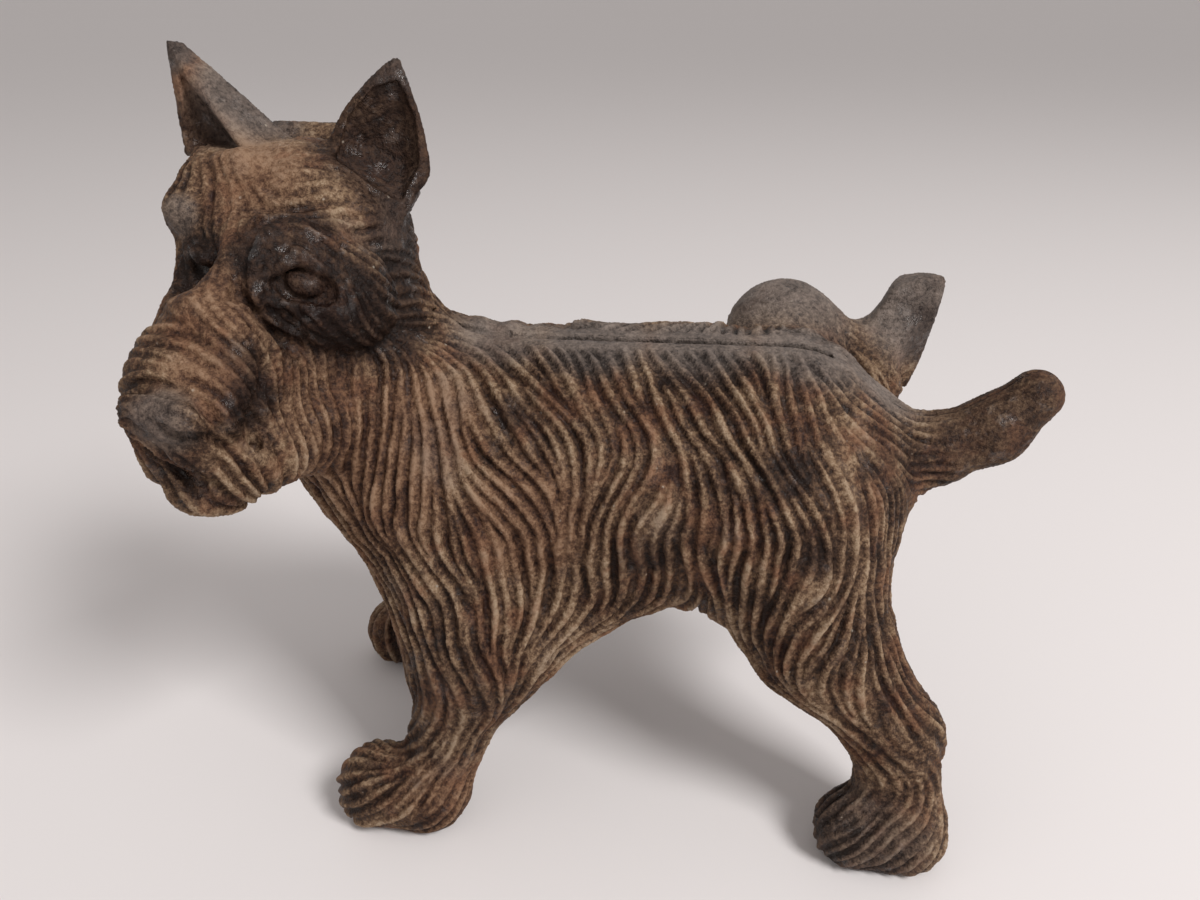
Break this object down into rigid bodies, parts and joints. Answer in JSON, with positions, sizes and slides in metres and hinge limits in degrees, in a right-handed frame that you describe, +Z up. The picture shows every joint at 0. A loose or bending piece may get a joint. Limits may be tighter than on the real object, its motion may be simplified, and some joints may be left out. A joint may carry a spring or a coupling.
{
  "type": "still bank",
  "caption": "Cast iron still bank shaped as a standing wire-haired terrier with a hind leg raised: hollow halves with a coin slot along the back, held by a long screw.",
  "frame": {"origin": "bottom centre of the part's box, on the surface that the paws stand on", "axes": "+X from the nose to the tail, +Y from the near (left) half to the far (right) half, square to the joint between the castings, +Z up"},
  "size_m": [0.1304, 0.077, 0.1191],
  "materials": {
    "rusted_iron_near": "dark brown patina worn to tan rust on the raised hair",
    "rusted_iron_far": "dark brown patina worn to tan rust on the raised hair",
    "screw_steel": "dulled, lightly rusted slotted steel"
  },
  "bodies": {
    "near_half": {"near_half": "rusted_iron_near"},
    "far_half": {"far_half": "rusted_iron_far"},
    "screw": {"assembly_screw": "screw_steel"}
  },
  "joints": [
    {"name": "half_parting", "type": "slide", "parent": "near_half", "child": "far_half", "axis": [0, 1, 0], "range_m": [0, 0.05]},
    {"name": "screw_withdrawal", "type": "slide", "parent": "far_half", "child": "screw", "axis": [0, 1, 0], "range_m": [0, 0.04]}
  ]
}
